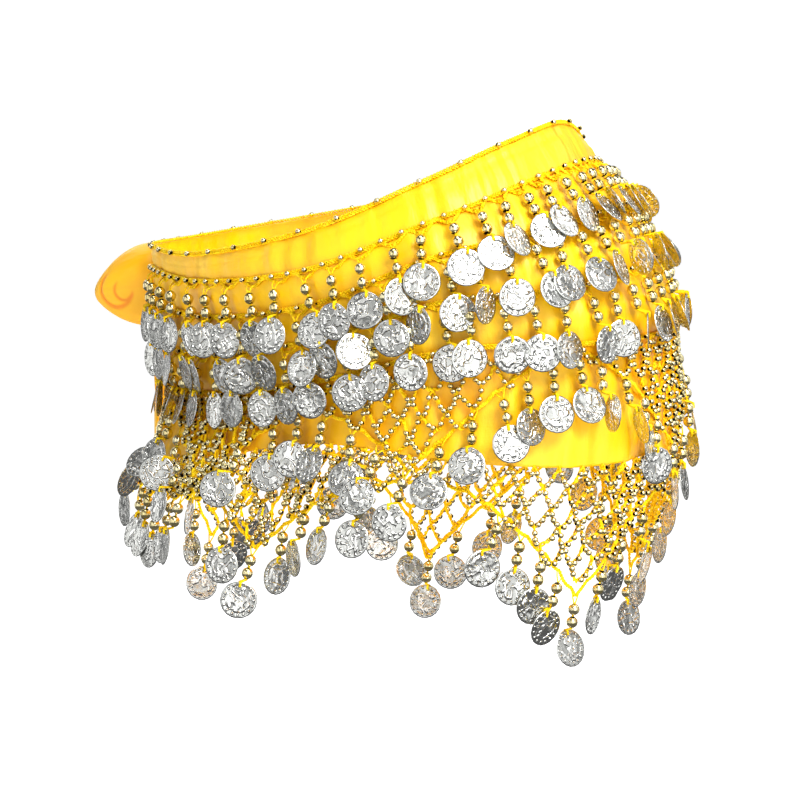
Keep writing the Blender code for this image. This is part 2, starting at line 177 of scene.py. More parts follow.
def ease(u):
    """0 below u = 0, 1 above u = 1, and u^2 (3 - 2u) between."""
    u = np.clip(u, 0, 1)
    return u * u * (3 - 2 * u)


print("top edge at the left side:", round(float(line_height("top_edge", 90)) * 1000, 1), "mm")

# %% Points on the worn form
def fold_depth(turn, height):
    """The sum over the folds of depth * cos^2(90 * away / half_turn) * ease(fall), where
    fall goes from 0 at the fold's top to 1 one fade below it."""
    deep = np.zeros(np.broadcast(turn, height).shape)
    for middle, half, depth, top, fade in zip(*fold.values()):
        away = (np.asarray(turn) - middle + 180) % 360 - 180
        across = np.cos(np.clip(away / half, -1, 1) * np.pi / 2) ** 2
        deep = deep + depth * across * ease((top - height) / fade)
    return deep


def worn(turn, height):
    """x = shift_x + (half_width - fold) sin(turn), y = shift_y - (half_depth - fold)
    cos(turn), z = height, with the oval's sizes read from the table at that height."""
    angle, inward = np.radians(turn), fold_depth(turn, height)
    size = {name: through(height, form["height"], form[name]) for name in FORM_COLUMNS[1:]}
    x = size["shift_x"] + (size["half_width"] - inward) * np.sin(angle)
    y = size["shift_y"] - (size["half_depth"] - inward) * np.cos(angle)
    return np.stack(np.broadcast_arrays(x, y, height), axis=-1)


def unit(vectors):
    """v / |v| for each vector."""
    return vectors / np.maximum(np.linalg.norm(vectors, axis=-1, keepdims=True), 1e-12)


def outward(turn, height):
    """The unit normal: d(point)/d(turn) x d(point)/d(height), by small differences."""
    along = worn(turn + 1.0, height) - worn(turn - 1.0, height)
    up = worn(turn, height + 0.002) - worn(turn, height - 0.002)
    return unit(np.cross(along, up))


def placed(turn, height, out):
    """point = worn(turn, height) + out * normal."""
    turn, height, out = np.broadcast_arrays(
        np.asarray(turn, float), np.asarray(height, float), np.asarray(out, float))
    return worn(turn, height) + outward(turn, height) * out[..., None]


def bunched(turn, middle=2, half=26):
    """exp(-((turn - middle) / half)^2): how far the scarf is bunched together, at the front."""
    return np.exp(-(((turn - middle) / half) ** 2))


FINE = 3000


def even_turns(height, name, start, end, step, crowd=0.0):
    """Turns that lie step metres apart along height(name, turn): the running length of a
    fine polyline is read backwards. Each length counts 1 + crowd bunched times."""
    turn = np.linspace(start, end, FINE)
    lengths = np.linalg.norm(np.diff(worn(turn, height(name, turn)), axis=0), axis=1)
    lengths = lengths * (1 + crowd * bunched(turn[1:]))
    run = np.concatenate([[0], lengths.cumsum()])
    return np.interp(np.arange(0, run[-1], step), run, turn)


at_side, at_front = worn(91.0, -0.1) - worn(90.0, -0.1), worn(1.0, -0.1) - worn(0.0, -0.1)
METRES_A_DEGREE = float(np.linalg.norm(at_side) + np.linalg.norm(at_front)) / 2
print("one degree is about", round(METRES_A_DEGREE * 1000, 2), "mm of cloth")

# %% The nets' pointed edges
def net_drop(turn, points):
    """drop = valley + (tip - valley) (1 - away)^sharp, where away is 0 at a point of the
    net and 1 in the valley between two."""
    point = table(POINT_COLUMNS, points)
    i = np.clip(np.searchsorted(point["turn"], turn, side="right") - 1, 0, len(points) - 2)
    u = (turn - point["turn"][i]) / (point["turn"][i + 1] - point["turn"][i])
    nearest = i + (u >= 0.5)
    away, valley = 2 * np.minimum(u, 1 - u), point["valley"][i]
    return valley + (point["drop"][nearest] - valley) * (1 - away) ** point["sharp"][nearest]


NETS = {"upper_net": ("net_top", UPPER_POINTS), "lower_net": ("hem", LOWER_POINTS)}
longest = [net_drop(np.arange(TRIM_START, TRIM_END), points).max() for _, points in NETS.values()]
print("longest points:", [round(float(drop) * 1000) for drop in longest], "mm")

# %% [markdown]
# ## Meshes from whole arrays
# Blender keeps a mesh as flat lists: points, the corners of the faces, and how many corners
# each face has. Filled from numpy arrays, thousands of beads are as quick as one. A *shape*
# below is a dictionary of these arrays, joined or repeated before Blender sees it.

# %% Shapes and pieces
def shape_of(points, faces, uv):
    """A shape from its points and arrays of faces, one face a row. uv has a place for each
    corner, or for each point."""
    points, uv = points.reshape(-1, 3), uv.reshape(-1, 2)
    corners = np.concatenate([part.ravel() for part in faces])
    sizes = np.concatenate([np.full(part[..., 0].size, part.shape[-1]) for part in faces])
    return {"points": points, "corners": corners, "sizes": sizes,
            "uv": uv[corners] if len(uv) == len(points) else uv, "painted_shade_and_tone": np.zeros(len(points))}


def joined(shapes):
    """One shape from several: each one's corners are counted on from the one before."""
    start = np.cumsum([0] + [len(s["points"]) for s in shapes[:-1]])
    keys = ("points", "sizes", "uv", "painted_shade_and_tone")
    whole = {key: np.concatenate([s[key] for s in shapes]) for key in keys}
    whole["corners"] = np.concatenate([s["corners"] + first for s, first in zip(shapes, start)])
    return whole


def make_piece(name, shape, material):
    """A mesh object from a shape, smooth, with its UV map and one value a point: painted shade on
    satin, a random tone on copies.
    """
    mesh = bpy.data.meshes.new(name)
    corners, sizes = shape["corners"].astype(np.int32), shape["sizes"].astype(np.int32)
    mesh.vertices.add(len(shape["points"]))
    mesh.vertices.foreach_set("co", shape["points"].astype(np.float32).ravel())
    mesh.loops.add(len(corners))
    mesh.loops.foreach_set("vertex_index", corners)
    mesh.polygons.add(len(sizes))
    first = np.concatenate([[0], np.cumsum(sizes)[:-1]]).astype(np.int32)
    mesh.polygons.foreach_set("loop_start", first)
    mesh.polygons.foreach_set("use_smooth", np.ones(len(sizes), bool))
    uv_map = mesh.uv_layers.new(name="UVMap")
    uv_map.uv.foreach_set("vector", shape["uv"].astype(np.float32).ravel())
    painted_shade_and_tone = mesh.attributes.new("painted_shade_and_tone", "FLOAT", "POINT")
    painted_shade_and_tone.data.foreach_set("value", shape["painted_shade_and_tone"].astype(np.float32))
    mesh.update(calc_edges=True)
    mesh.validate()
    mesh.materials.append(material)
    piece = bpy.data.objects.new(name, mesh)
    bpy.context.scene.collection.objects.link(piece)
    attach(piece, "root")
    print(name, "has", int((sizes - 2).sum()), "triangles")
    return piece


# %% Sheets and swept threads
def sheet_shape(points, uv, closed):
    """Quads over a grid of points, rows from the top down and columns along the turn. A
    closed sheet joins its last column to its first, and its UV runs on past the seam."""
    rows, columns = points.shape[:2]
    across = np.arange(columns if closed else columns - 1)
    j, i = np.meshgrid(np.arange(rows - 1), across, indexing="ij")
    k, high, low = (i + 1) % columns, j * columns, (j + 1) * columns
    corners = np.stack([low + i, low + k, high + k, high + i], -1)
    corner_uv = np.stack([uv[j + 1, i], uv[j + 1, i + 1], uv[j, i + 1], uv[j, i]], -2)
    return shape_of(points, [corners], corner_uv)


def swept(paths, normals, radius, sides=4):
    """A closed tube along each path: ring point = path + r (cos(a) X + sin(a) Y), where X
    is the normal made square to the tangent T, and Y = T x X."""
    tubes, count = paths.shape[:2]
    tangent = unit(np.gradient(paths, axis=1))
    normals = np.broadcast_to(normals, paths.shape)
    x = unit(normals - (normals * tangent).sum(-1, keepdims=True) * tangent)
    y = np.cross(tangent, x)
    angle = np.arange(sides) / sides * 2 * np.pi
    r = np.broadcast_to(radius, paths.shape[:2])[..., None, None]
    around = x[:, :, None] * np.cos(angle)[:, None] + y[:, :, None] * np.sin(angle)[:, None]
    ring = paths[:, :, None] + r * around
    n, p, s = np.meshgrid(np.arange(tubes), np.arange(count - 1), np.arange(sides), indexing="ij")
    first = (n * count + p) * sides
    k = (s + 1) % sides
    quads = np.stack([first + s, first + k, first + sides + k, first + sides + s], -1)
    lengths = np.linalg.norm(np.diff(paths, axis=1), axis=-1)
    run = np.concatenate([np.zeros((tubes, 1)), lengths.cumsum(1)], 1)
    v0, v1, u0, u1 = run[n, p], run[n, p + 1], s / sides, (s + 1) / sides
    quad_uv = np.stack([u0, v0, u1, v0, u1, v1, u0, v1], -1)
    start = np.arange(tubes)[:, None] * count * sides + np.arange(sides)[::-1]
    end = (np.arange(tubes)[:, None] + 1) * count * sides - sides + np.arange(sides)
    uv = np.concatenate([quad_uv.ravel(), np.zeros(2 * tubes * sides * 2)])
    return shape_of(ring, [quads, start, end], uv)


# %% [markdown]
# ## Beads and coins as templates
# The real beads are hollow plastic with a metal skin, and the coins are stamped from thin
# sheet. A ball and a disc are made once, and `scattered` copies them along the threads.
# Linked duplicates would also do, but in one mesh each copy carries a random number, in the
# attribute that holds the satin's painted shade, which lets the finish vary from coin to coin.

# %% A ball, a disc, and copies of them
def ball(segments, rings):
    """x = sin(a) cos(b), y = cos(a), z = sin(a) sin(b): a unit ball with its holes at +-Y.
    v is the angle a over 180 degrees."""
    a = np.arange(1, rings) / rings * np.pi
    b = -np.arange(segments) / segments * 2 * np.pi
    body = np.stack([np.sin(a)[:, None] * np.cos(b), np.repeat(np.cos(a)[:, None], segments, 1),
                     np.sin(a)[:, None] * np.sin(b)], -1).reshape(-1, 3)
    points = np.concatenate([[[0, 1, 0]], body, [[0, -1, 0]]])
    s = np.arange(segments)
    k, last = (s + 1) % segments, len(points) - 1
    top = np.stack([0 * s, 1 + k, 1 + s], -1)
    low = np.stack([0 * s + last, last - segments + s, last - segments + k], -1)
    r = np.arange(rings - 2)[:, None] * segments + 1
    quads = np.stack([r + s, r + k, r + segments + k, r + segments + s], -1)
    height = np.arccos(np.clip(points[:, 1], -1, 1)) / np.pi
    return shape_of(points, [top, low, quads], np.stack([np.full(len(points), 0.5), height], -1))


COIN_PROFILE = ((0.86, 0.020), (0.93, 0.030), (1.00, 0.012),
                (1.00, -0.012), (0.93, -0.030), (0.86, -0.020))


def disc(segments):
    """Rings (r cos(a), r sin(a), z) through the coin's profile of (r, z), closed by a flat
    face on each side. The radius is 1, and both faces share one UV, x and y from 0 to 1."""
    r, z = np.array(COIN_PROFILE).T
    a = np.arange(segments) / segments * 2 * np.pi
    x, y, z = r[:, None] * np.cos(a), r[:, None] * np.sin(a), np.repeat(z[:, None], segments, 1)
    s = np.arange(segments)
    k = (s + 1) % segments
    j = np.arange(len(r) - 1)[:, None] * segments
    quads = np.stack([j + s, j + segments + s, j + segments + k, j + k], -1)
    flats = np.stack([s, (len(r) - 1) * segments + s[::-1]])
    uv = np.stack([x, y], -1) / 2 + 0.5
    return shape_of(np.stack([x, y, z], -1), [flats, quads], uv)


def scattered(template, centres, frames, painted_shade_and_tone):
    """copy point = centre + frame @ point, for every centre at once. A frame's columns are
    the copy's side, up and out, each as long as the copy's half size that way."""
    many, size = len(centres), len(template["points"])
    points = centres[:, None] + np.einsum("nij,pj->npi", frames, template["points"])
    corners = template["corners"] + (np.arange(many) * size)[:, None]
    return {"points": points.reshape(-1, 3), "corners": corners.ravel(),
            "sizes": np.tile(template["sizes"], many), "uv": np.tile(template["uv"], (many, 1)),
            "painted_shade_and_tone": np.repeat(painted_shade_and_tone, size)}


BIG_BALL, SMALL_BALL, COIN = ball(10, 8), ball(8, 5), disc(20)
print("faces:", [len(shape["sizes"]) for shape in (BIG_BALL, SMALL_BALL, COIN)])

# %% [markdown]
# ## Finishes
# Each finish starts from what the real one is. One helper adds any node, with its sockets
# set or linked by their own names, and four short ones name what is used again and again.

# %% Helpers for colour and nodes
def linear(code):
    """sRGB hex to linear: c / 12.92 below 0.04045, else ((c + 0.055) / 1.055) ^ 2.4."""
    c = np.array([int(code[i:i + 2], 16) for i in (1, 3, 5)]) / 255
    return (*np.where(c <= 0.04045, c / 12.92, ((c + 0.055) / 1.055) ** 2.4), 1.0)


def add_node(tree, kind, inputs=None, **settings):
    """One node. A value in inputs that is another node's socket is linked, any other is
    set on the socket. The settings are the node's own, such as operation."""
    node = tree.nodes.new("ShaderNode" + kind)
    for name, value in settings.items():
        setattr(node, name, value)
    for name, value in (inputs or {}).items():
        if isinstance(value, bpy.types.NodeSocket):
            tree.links.new(value, node.inputs[name])
        else:
            node.inputs[name].default_value = value
    return node


def new_finish(name, **values):
    """A material with a Principled shader, its sockets set by name."""
    material = bpy.data.materials.new(name)
    material.use_nodes = True
    shader = material.node_tree.nodes["Principled BSDF"]
    for socket, value in values.items():
        shader.inputs[socket.replace("_", " ")].default_value = value
    return material, material.node_tree, shader


def mixed(tree, share, low, high):
    """colour = low (1 - share) + high share."""
    mix = add_node(tree, "Mix", {0: share}, data_type="RGBA")
    for index, colour in ((6, low), (7, high)):
        if isinstance(colour, bpy.types.NodeSocket):
            tree.links.new(colour, mix.inputs[index])
        else:
            mix.inputs[index].default_value = linear(colour)
    return mix.outputs[2]


def ramp(tree, value, low, high):
    """(value - low) / (high - low), held between 0 and 1."""
    limits = {"Value": value, "From Min": low, "From Max": high}
    return add_node(tree, "MapRange", limits).outputs[0]


def maths(tree, operation, *values):
    """The result of one Math node."""
    return add_node(tree, "Math", dict(enumerate(values)), operation=operation).outputs[0]


def noise(tree, at, scale, detail):
    """Noise whose lumps are about 1 / scale wide."""
    return add_node(tree, "TexNoise", {"Vector": at, "Scale": scale, "Detail": detail}).outputs[0]


def bumped(tree, height, strength, distance, **under):
    """The normal over a height, on top of another normal if there is one."""
    inputs = {"Height": height, "Strength": strength, "Distance": distance, **under}
    return add_node(tree, "Bump", inputs).outputs[0]


def rough(tree, shader, value, low, high):
    """Roughness runs from low to high with a value between 0 and 1."""
    limits = {"Value": value, "To Min": low, "To Max": high}
    tree.links.new(add_node(tree, "MapRange", limits).outputs[0], shader.inputs["Roughness"])


print("yellow satin in linear light:", [round(c, 3) for c in linear("#FFC400")])

# %% Polyester satin
# Long floats of smooth thread give satin its gloss: broad soft highlights, and a deeper
# orange wherever one layer lights the next, which is painted into the colour as shade.
def satin_finish():
    """Colour from the painted shade, which is 1 in the creases, and from slow clouds 40 mm wide.
    Bump from creases 8 mm by 17 mm, from pulls 6 mm by 1.2 mm, and from threads drawn
    0.6 mm apart, coarser than the real 0.1 mm so that they show."""
    material, tree, shader = new_finish(
        "polyester_satin", Roughness=0.40, Specular_IOR_Level=1.0, Sheen_Weight=0.12,
        Sheen_Roughness=0.35, Sheen_Tint=linear("#FFE860"), Specular_Tint=linear("#FFF0A8"))
    uv = add_node(tree, "UVMap", uv_map="UVMap").outputs[0]
    painted_shade_and_tone = add_node(tree, "Attribute", attribute_name="painted_shade_and_tone").outputs["Fac"]
    clouds = noise(tree, uv, 25.0, 3.0)
    base = mixed(tree, ramp(tree, clouds, 0.35, 0.65), "#FBBA00", "#FECC00")
    # Painted shade: the satin turns to orange #F58C00 in creases, along stitching and under the
    # net.
    tree.links.new(mixed(tree, painted_shade_and_tone, base, "#F58C00"), shader.inputs["Base Color"])
    under = {}
    for across, up, detail, strength, distance in ((130.0, 60.0, 3.0, 0.5, 0.0018),
                                                   (160.0, 800.0, 2.0, 0.20, 0.0004),
                                                   (300.0, 1700.0, 1.0, 0.15, 0.0002)):
        at = add_node(tree, "Mapping", {"Vector": uv, "Scale": (across, up, 1.0)}).outputs[0]
        under["Normal"] = bumped(tree, noise(tree, at, 1.0, detail), strength, distance, **under)
    tree.links.new(under["Normal"], shader.inputs["Normal"])
    rough(tree, shader, clouds, 0.34, 0.46)
    return material


SATIN = satin_finish()
print("made", SATIN.name)

# %% Mercerised cotton
# Crochet thread is plied and slightly shiny. The twist is drawn as slanting stripes in the
# thread's own UV: u runs once round it and v along it, in metres.
def cotton_finish():
    """stripe = sin(2 pi (u + v / 1.6 mm)), which lifts the plies and paints shade darker in the
    grooves.
    """
    material, tree, shader = new_finish(
        "mercerised_cotton", Roughness=0.55, Sheen_Weight=0.1, Sheen_Roughness=0.4,
        Specular_IOR_Level=0.25, Sheen_Tint=linear("#FFE040"), Specular_Tint=linear("#FFE45C"))
    uv = add_node(tree, "UVMap", uv_map="UVMap").outputs[0]
    split = add_node(tree, "SeparateXYZ", {"Vector": uv})
    along = maths(tree, "MULTIPLY_ADD", split.outputs[1], 1 / 0.0016, split.outputs[0])
    stripe = maths(tree, "SINE", maths(tree, "MULTIPLY", along, 2 * math.pi))
    stripe = ramp(tree, stripe, -1.0, 1.0)
    where = add_node(tree, "TexCoord").outputs["Object"]
    # Painted shade: the twist's grooves are coloured a deeper orange than the plies.
    colour = mixed(tree, stripe, "#F2AC00", "#FFD400")
    colour = mixed(tree, ramp(tree, noise(tree, where, 300.0, 2.0), 0.35, 0.75), colour, "#FFE428")
    tree.links.new(colour, shader.inputs["Base Color"])
    tree.links.new(bumped(tree, stripe, 0.6, 0.0003), shader.inputs["Normal"])
    return material


COTTON = cotton_finish()
print("made", COTTON.name)

# %% Metallised plastic beads
# A pale gold skin over plastic: close to a mirror, softened by the moulding, with painted
# shade at the two holes.
def bead_finish():
    """v is the angle from a hole over 180 degrees. Painted shade darkens the colour where
    |v - 0.5| is over 0.4, or over 0.3 on the copies with the highest random value. Bump from
    moulding marks 1.5 mm wide."""
    material, tree, shader = new_finish("metallised_plastic", Metallic=1.0, Roughness=0.16)
    uv = add_node(tree, "UVMap", uv_map="UVMap").outputs[0]
    height = add_node(tree, "SeparateXYZ", {"Vector": uv}).outputs[1]
    away = maths(tree, "ABSOLUTE", maths(tree, "SUBTRACT", height, 0.5))
    painted_shade_and_tone = add_node(tree, "Attribute", attribute_name="painted_shade_and_tone").outputs["Fac"]
    # Painted shade: the skin turns near black towards the two holes.
    hole = ramp(tree, maths(tree, "MULTIPLY_ADD", painted_shade_and_tone, 0.10, away), 0.36, 0.40)
    skin = mixed(tree, painted_shade_and_tone, "#F2E8BC", "#E6D596")
    tree.links.new(mixed(tree, hole, skin, "#151004"), shader.inputs["Base Color"])
    where = add_node(tree, "TexCoord").outputs["Object"]
    marks = noise(tree, where, 650.0, 1.0)
    rough(tree, shader, marks, 0.10, 0.24)
    tree.links.new(bumped(tree, marks, 0.15, 0.0003), shader.inputs["Normal"])
    return material


METALLISED = bead_finish()
print("made", METALLISED.name)

# %% Stamped aluminium coins
# Thin bright aluminium with a raised rim, a ring of dots and an abstract stamped scroll that
# differs from coin to coin.
def coin_finish():
    """With r and a the polar place on the coin: dots where cos(16 a) is high in a ring about
    r = 0.81, and scrolls from bent noise that fade out from r = 0.62 to 0.74. Each coin's random
    value moves the noise, which adds dents too."""
    material, tree, shader = new_finish("stamped_aluminium", Metallic=1.0, Roughness=0.22)
    uv = add_node(tree, "UVMap", uv_map="UVMap").outputs[0]
    painted_shade_and_tone = add_node(tree, "Attribute", attribute_name="painted_shade_and_tone").outputs["Fac"]
    centre = {"Vector": uv, "Location": (-1.0, -1.0, 0.0), "Scale": (2.0, 2.0, 1.0)}
    centred = add_node(tree, "Mapping", centre).outputs[0]
    split = add_node(tree, "SeparateXYZ", {"Vector": centred})
    radius = add_node(tree, "VectorMath", {0: centred}, operation="LENGTH").outputs["Value"]
    angle = maths(tree, "ARCTAN2", split.outputs[1], split.outputs[0])
    beat = ramp(tree, maths(tree, "COSINE", maths(tree, "MULTIPLY", angle, 16.0)), 0.1, 0.9)
    off_ring = maths(tree, "ABSOLUTE", maths(tree, "SUBTRACT", radius, 0.81))
    dots = maths(tree, "MULTIPLY", beat, ramp(tree, off_ring, 0.085, 0.025))
    moved = {"Vector": centred, "W": maths(tree, "MULTIPLY", painted_shade_and_tone, 37.0)}
    forms = {"Scale": 1.9, "Detail": 0.6, "Distortion": 1.0}, {"Scale": 2.2, "Detail": 1.0}
    scroll, dents = (add_node(tree, "TexNoise", {**moved, **form}, noise_dimensions="4D").outputs[0]
                     for form in forms)
    lines = maths(tree, "SINE", maths(tree, "MULTIPLY", scroll, 15.0))
    inner = ramp(tree, radius, 0.74, 0.62)
    figure = maths(tree, "MULTIPLY", ramp(tree, lines, 0.1, 0.8), inner)
    relief = maths(tree, "ADD", dots, figure)
    bump = bumped(tree, relief, 1.0, 0.0007, Normal=bumped(tree, dents, 0.55, 0.0010))
    tree.links.new(bump, shader.inputs["Normal"])
    tree.links.new(mixed(tree, relief, "#C8C9C5", "#F6F6F2"), shader.inputs["Base Color"])
    rough(tree, shader, dents, 0.16, 0.34)
    return material


ALUMINIUM = coin_finish()
print("made", ALUMINIUM.name)

# %% [markdown]
# ## The satin wrap
# The cloth is one sheet round the form. Between two lines of stitching it swells a little,
# and each line draws it in. A simulation could drape it, but here the stitching holds the
# cloth every 20 mm and decides its shape, so the gathers are drawn as sums of waves.

# %% Waves for gathers and creases
def waves(turn, height, seed, count, turn_rate, height_rate):
    """sum of cos(k turn + m height + phase) / sqrt(count), with whole k so that it closes."""
    rng = np.random.default_rng(seed)
    total = 0
    for _ in range(count):
        k = round(rng.uniform(0.4, 1.0) * turn_rate) * rng.choice([-1, 1])
        m, phase = rng.uniform(-1, 1) * height_rate, rng.uniform(0, 6.28)
        total = total + np.cos(np.radians(turn) * k + height * m + phase)
    return total / math.sqrt(count)


print("waves at one place:", round(float(waves(10.0, -0.1, 1, 8, 40, 60)), 3))

# %% The cloth
CLOTH_LINES = ("top_edge", "row_1", "row_2", "row_3", "net_top", "hem")
ROWS_BETWEEN = (14, 14, 16, 16, 40)
SWELL = (0.0013, 0.0014, 0.0017, 0.0017, 0.0)
GATHER_DEEP, CREASE_DEEP, SEAM_DEEP, SEAM_DOWN = 0.00060, 0.00034, 0.0005, 0.0065
COLUMNS_ROUND = 400


def cloth_grid():
    """Heights run evenly from each line to the next. swell = S sin(180 u)^0.8 between two
    lines, where gathers and creases are deepest. A stitched seam runs under the top edge.
    The rows rise to the notch under the knot by 1 - away / 14 degrees."""
    turn = KNOT_TURN + np.arange(COLUMNS_ROUND + 1) / COLUMNS_ROUND * 360
    heights, swell, pinch = [line_height("top_edge", turn)], [0.0], [1.0]
    for upper, lower, rows, deep in zip(CLOTH_LINES, CLOTH_LINES[1:], ROWS_BETWEEN, SWELL):
        top, low = line_height(upper, turn), line_height(lower, turn)
        u = np.arange(1, rows + 1) / rows
        heights += list(top + (low - top) * u[:, None])
        swell += list(deep * np.sin(np.pi * u) ** 0.8)
        pinch += list(1 - np.sin(np.pi * u) ** 0.5 if deep else np.exp(-u * 7))
    heights, swell, pinch = np.array(heights), np.array(swell)[:, None], np.array(pinch)[:, None]
    at_knot = heights[0] - NOTCH_DEPTH * np.linspace(0, 1, len(heights))[:, None]
    away = abs((turn - KNOT_TURN + 180) % 360 - 180)
    heights = heights + (at_knot - heights) * np.clip(1 - away / NOTCH_HALF, 0, 1)
    gathers = waves(turn, heights, 3, 9, 80, 60) * GATHER_DEEP * (0.3 + 0.7 * (1 - pinch))
    creases = waves(turn, heights, 5, 7, 24, 330) * CREASE_DEEP * (1 - pinch)
    seam = SEAM_DEEP * np.exp(-((heights[0] - heights - SEAM_DOWN) / 0.0008) ** 2)
    out = swell * (1 + 0.25 * waves(turn, heights, 7, 5, 16, 20)) + gathers + creases - seam
    return np.broadcast_to(turn, heights.shape), heights, out, np.broadcast_to(pinch, heights.shape)


def make_cloth():
    """The sheet, its UV in metres of cloth, with painted shade along the stitching, in the folds
    and under the upper net.
    """
    turn, heights, out, pinch = cloth_grid()
    points = placed(turn, heights, out)
    uv = np.stack([turn * METRES_A_DEGREE, heights], -1)
    shape = sheet_shape(points[:, :-1], uv, closed=True)
    # Painted shade: deepest along the stitched lines, more with the depth of each fold, and a
    # little more under the upper net.
    shade = 0.55 * pinch ** 2 + fold_depth(turn, heights) / 0.016
    below_top = line_height("net_top", turn) - heights
    under_net = (below_top > 0.004) & (below_top < net_drop(turn, UPPER_POINTS) + 0.003)
    shade = shade + 0.08 * under_net
    shape["painted_shade_and_tone"] = np.clip(shade[:, :-1], 0, 1).ravel()
    cloth = make_piece("satin_wrap", shape, SATIN)
    solidify = cloth.modifiers.new("thickness", "SOLIDIFY")
    solidify.thickness, solidify.offset = 0.0005, -1
    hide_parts("cloth_wrap")
    return cloth


cloth = make_cloth()

# %% [markdown]
# ## Crochet cords
# A crochet chain looks like a flat plait of three strands. Each strand is one long swept
# tube that sways across the cord and over its neighbours, with small beads at even steps.

# %% Plaited cords with small beads
STRAND_RADIUS = 0.00052
CHAIN_WIDE, CHAIN_DEEP, CHAIN_PITCH = 0.0011, 0.0005, 0.0060
NARROW = {"wide": 0.0007, "deep": 0.0004}
SMALL_BEAD, BEAD_OUT = 0.0016, 0.0018
rng = np.random.default_rng(11)


def frames_at(turn, height):
    """The cloth's side, up and out as the columns of a matrix, for each turn and height."""
    out = outward(turn, height)
    side = unit(worn(turn + 0.5, height) - worn(turn - 0.5, height))
    return np.stack([side, np.cross(out, side), out], -1)


def plait(turn, height, out, wide=CHAIN_WIDE, deep=CHAIN_DEEP, pitch=CHAIN_PITCH):
    """Strand k sways by wide * sin(q + 120 k) across and deep * sin(2 (q + 120 k)) outwards,
    where q grows by 360 degrees every pitch."""
    line_points = placed(turn, height, out)
    frames = frames_at(turn, height)
    run = np.concatenate([[0], np.linalg.norm(np.diff(line_points, axis=0), axis=1).cumsum()])
    q = run / pitch * 2 * np.pi + np.arange(3)[:, None] * 2 * np.pi / 3
    along = unit(np.gradient(line_points, axis=0))
    across = np.cross(frames[..., 2], along)
    sway, rise = wide * np.sin(q)[..., None], deep * np.sin(2 * q)[..., None]
    paths = line_points + sway * across + rise * frames[..., 2]
    return swept(paths, frames[..., 2], STRAND_RADIUS)


def small_beads(turn, height, out, radius=SMALL_BEAD):
    """Small balls on the cloth, each with its hole along the cord."""
    frames = frames_at(turn, height)[..., [1, 0, 2]] * np.array([-1, 1, 1]) * radius
    return scattered(SMALL_BALL, placed(turn, height, out), frames, rng.random(len(turn)))


def make_cord(name, line_name, start, end, out, bead_step):
    """A plaited cord on a named line, and a small bead every bead_step metres."""
    turn = even_turns(line_height, line_name, start, end, 0.00085)
    shape = plait(turn, line_height(line_name, turn), out)
    cord = make_piece(name, shape, COTTON)
    at = even_turns(line_height, line_name, start + 1.5, end - 1, bead_step)
    beads = small_beads(at, line_height(line_name, at), np.full(len(at), out + BEAD_OUT))
    return cord, make_piece(name + "_beads", beads, METALLISED)


edging, edging_beads = make_cord(
    "edging_cord", "top_edge", KNOT_TURN, KNOT_TURN + 360, 0.0010, 0.0245)
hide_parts("waist_edging")
cords, cord_beads = {}, {}
for name, step in (("row_1", 0.0120), ("row_2", 0.0130), ("row_3", 0.0130), ("net_top", 0.0130)):
    cords[name], cord_beads[name] = make_cord(
        name + "_cord", name, TRIM_START, TRIM_END, 0.0012, step)

# %% [markdown]
# ## The nets
# Each net is rows of chain loops, each hanging between two others, like fish scales. One
# loop could be copied by an array modifier, but the points need fewer loops a row, so each
# loop is kept only where it still lies above the pointed edge.

# %% Loops of a net
LOOP_WIDE, LOOP_TALL = 0.0138, 0.0104
BEADS_IN_LOOP = (0.10, 0.24, 0.38, 0.62, 0.76, 0.90)
LOOP_POINTS = 25
PLY_SWAY, PLY_RADIUS, SHARE_OF_BEADS = 0.00095, 0.00066, 0.9
CROWD = 0.9


def net_grid(name):
    """The turns of the loops' ends, half a loop apart along the line that carries the net."""
    return even_turns(line_height, NETS[name][0], TRIM_START, TRIM_END, LOOP_WIDE / 2, CROWD)


def net_loops(name):
    """Row j's loops start at every second end, first at end j mod 2. A loop is kept where
    the net's drop at its middle is at least (j + 0.5) rows."""
    ends = net_grid(name)
    i, j = np.meshgrid(np.arange(0, len(ends) - 3, 2), np.arange(int(0.080 / LOOP_TALL)))
    start = (i + j % 2).ravel()
    kept = net_drop(ends[start + 1], NETS[name][1]) >= (j.ravel() + 0.5) * LOOP_TALL
    return start[kept], j.ravel()[kept]


def loop_at(name, start, row, s, out):
    """turn goes from one end to the next but one, height = line - tall (row + 1 -
    |2s - 1|^1.7), s from 0 to 1, and slow waves pull the whole net out of true, more and
    outwards too where it is bunched."""
    ends = net_grid(name)
    turn = np.interp(start[:, None] + 2 * s, np.arange(len(ends)), ends)
    fall = LOOP_TALL * (row[:, None] + 1 - abs(2 * s - 1) ** 1.7)
    height = line_height(NETS[name][0], turn) - fall
    slack = np.clip(fall / 0.02, 0, 1)
    turn = turn + 0.35 * slack * waves(turn, height, 21, 6, 60, 300)
    height = height + 0.0012 * slack * waves(turn, height, 22, 6, 60, 300)
    tangle = slack * bunched(turn)
    height = height + 0.0034 * tangle * waves(turn, height, 23, 8, 150, 420)
    return turn, height, out + 0.0016 * tangle * (1 + waves(turn, height, 24, 8, 150, 420))


